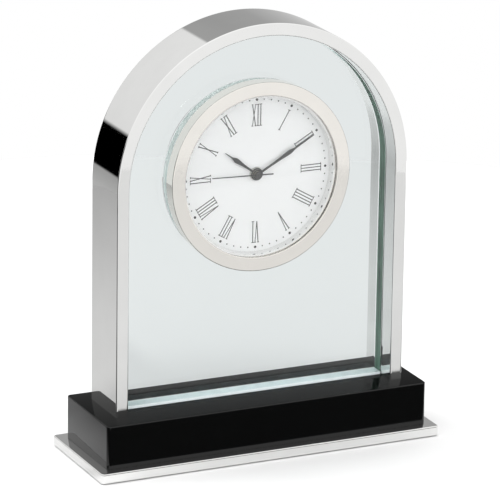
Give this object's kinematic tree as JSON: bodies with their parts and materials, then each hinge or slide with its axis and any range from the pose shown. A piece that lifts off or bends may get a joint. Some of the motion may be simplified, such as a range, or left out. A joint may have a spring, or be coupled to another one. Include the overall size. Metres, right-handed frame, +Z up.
{
  "type": "mantel clock",
  "caption": "Arched glass mantel clock: metal hoop on a black block and plate, with a round analogue quartz insert held in the glass.",
  "frame": {"origin": "middle of the underside, on the surface the clock stands on", "axes": "+X right, -Y front (the dial faces -Y), +Z up"},
  "size_m": [0.1634, 0.0554, 0.1943],
  "materials": {
    "polished_metal": "mirror polish",
    "bezel_metal": "polished",
    "screw_steel": "satin",
    "black_gloss": "high gloss",
    "black_felt": "felt",
    "clear_glass": "polished",
    "adhesive": "translucent",
    "rubber": "matte",
    "dial_white": "matt",
    "hand_grey": "satin",
    "case_plastic": "fine grain",
    "white_nylon": "satin",
    "gear_plastic": "satin",
    "brass": "satin",
    "copper": "enamelled",
    "silicon_iron": "satin",
    "circuit_green": "solder mask",
    "epoxy": "gloss",
    "cell_steel": "satin"
  },
  "bodies": {
    "base": {"felt_pad": "black_felt", "base_plate": "polished_metal", "base_block": "black_gloss", "plate_screw_1": "screw_steel", "plate_screw_2": "screw_steel", "plate_screw_3": "screw_steel", "plate_screw_4": "screw_steel", "arch_screw_1": "screw_steel", "arch_screw_2": "screw_steel", "arch_screw_3": "screw_steel", "arch_screw_4": "screw_steel", "arch_frame": "polished_metal", "glass_seat": "adhesive", "glass_panel": "clear_glass"},
    "insert": {"bezel": "bezel_metal", "crystal_lens": "clear_glass", "lens_gasket": "rubber", "reflector_ring": "polished_metal", "dial": "dial_white", "case_cup": "case_plastic", "grip_gasket": "rubber", "cup_screw_1": "screw_steel", "cup_screw_2": "screw_steel", "cup_screw_3": "screw_steel", "battery": "cell_steel", "battery_contact_minus": "brass", "battery_contact_plus": "brass", "movement_base": "white_nylon", "movement_cover": "white_nylon", "cover_screw_1": "screw_steel", "cover_screw_2": "screw_steel", "cover_screw_3": "screw_steel", "cover_screw_4": "screw_steel", "middle_plate": "white_nylon", "stator": "silicon_iron", "coil_core": "silicon_iron", "coil": "copper", "circuit_board": "circuit_green", "controller_chip": "epoxy", "quartz_crystal": "cell_steel"},
    "second_hand_body": {"second_hand": "hand_grey", "second_wheel": "gear_plastic"},
    "minute_hand_body": {"minute_hand": "hand_grey", "centre_wheel": "gear_plastic"},
    "hour_hand_body": {"hour_hand": "hand_grey", "hour_wheel": "gear_plastic"},
    "third_wheel_body": {"third_wheel": "gear_plastic"},
    "step_wheel_body": {"step_wheel": "gear_plastic"},
    "rotor_body": {"rotor": "silicon_iron"},
    "minute_wheel_body": {"minute_wheel": "gear_plastic"},
    "setting_knob_body": {"setting_knob": "case_plastic"},
    "battery_door_body": {"battery_door": "case_plastic"}
  },
  "joints": [
    {"name": "insert_pull", "type": "slide", "parent": "base", "child": "insert", "axis": [0, -1, 0], "range_m": [0, 0.04]},
    {"name": "second_hand_turn", "type": "hinge", "parent": "insert", "child": "second_hand_body", "pos_m": [0, 0, 0.1251], "axis": [0, 1, 0], "continuous": true},
    {"name": "minute_hand_turn", "type": "hinge", "parent": "insert", "child": "minute_hand_body", "pos_m": [0, 0, 0.1251], "axis": [0, 1, 0], "continuous": true},
    {"name": "hour_hand_turn", "type": "hinge", "parent": "insert", "child": "hour_hand_body", "pos_m": [0, 0, 0.1251], "axis": [0, 1, 0], "continuous": true},
    {"name": "third_wheel_turn", "type": "hinge", "parent": "insert", "child": "third_wheel_body", "pos_m": [0, 0, 0.1341], "axis": [0, 1, 0], "continuous": true},
    {"name": "step_wheel_turn", "type": "hinge", "parent": "insert", "child": "step_wheel_body", "pos_m": [0.00384, 0, 0.11845], "axis": [0, 1, 0], "continuous": true},
    {"name": "rotor_turn", "type": "hinge", "parent": "insert", "child": "rotor_body", "pos_m": [0.0099, 0, 0.11495], "axis": [0, 1, 0], "continuous": true},
    {"name": "minute_wheel_turn", "type": "hinge", "parent": "insert", "child": "minute_wheel_body", "pos_m": [-0.00727, 0, 0.1209], "axis": [0, 1, 0], "continuous": true},
    {"name": "setting_knob_turn", "type": "hinge", "parent": "insert", "child": "setting_knob_body", "pos_m": [-0.01517, 0, 0.11803], "axis": [0, 1, 0], "continuous": true},
    {"name": "battery_door_slide", "type": "slide", "parent": "insert", "child": "battery_door_body", "axis": [0, 0, 1], "range_m": [0, 0.018]}
  ],
  "couplings": [
    {"joint": "minute_hand_turn", "follows": "second_hand_turn", "ratio": 0.016667},
    {"joint": "hour_hand_turn", "follows": "second_hand_turn", "ratio": 0.0013889},
    {"joint": "third_wheel_turn", "follows": "second_hand_turn", "ratio": -0.13333},
    {"joint": "step_wheel_turn", "follows": "second_hand_turn", "ratio": -5},
    {"joint": "rotor_turn", "follows": "second_hand_turn", "ratio": 30},
    {"joint": "minute_wheel_turn", "follows": "second_hand_turn", "ratio": -0.0055556},
    {"joint": "setting_knob_turn", "follows": "second_hand_turn", "ratio": 0.016667}
  ]
}
